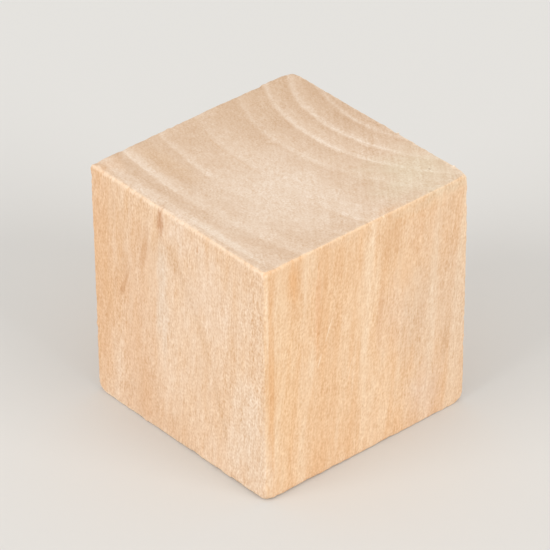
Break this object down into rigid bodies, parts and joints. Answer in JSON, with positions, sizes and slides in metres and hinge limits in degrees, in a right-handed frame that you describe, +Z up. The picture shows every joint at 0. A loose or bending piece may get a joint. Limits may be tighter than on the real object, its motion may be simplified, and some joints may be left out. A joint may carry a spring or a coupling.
{
  "type": "wooden cube",
  "caption": "Small solid wooden cube with upright grain, flat faces, lightly rounded edges and worn corners.",
  "frame": {"origin": "centre of the base, on the surface that the cube stands on", "axes": "+Z up along the grain, +X across the stick's width, +Y across its depth, to the back"},
  "size_m": [0.0254, 0.025, 0.0259],
  "materials": {
    "bare_wood": "bare sawn and tumbled pale hardwood, matt"
  },
  "bodies": {
    "root": {"wooden_cube": "bare_wood"}
  },
  "joints": []
}
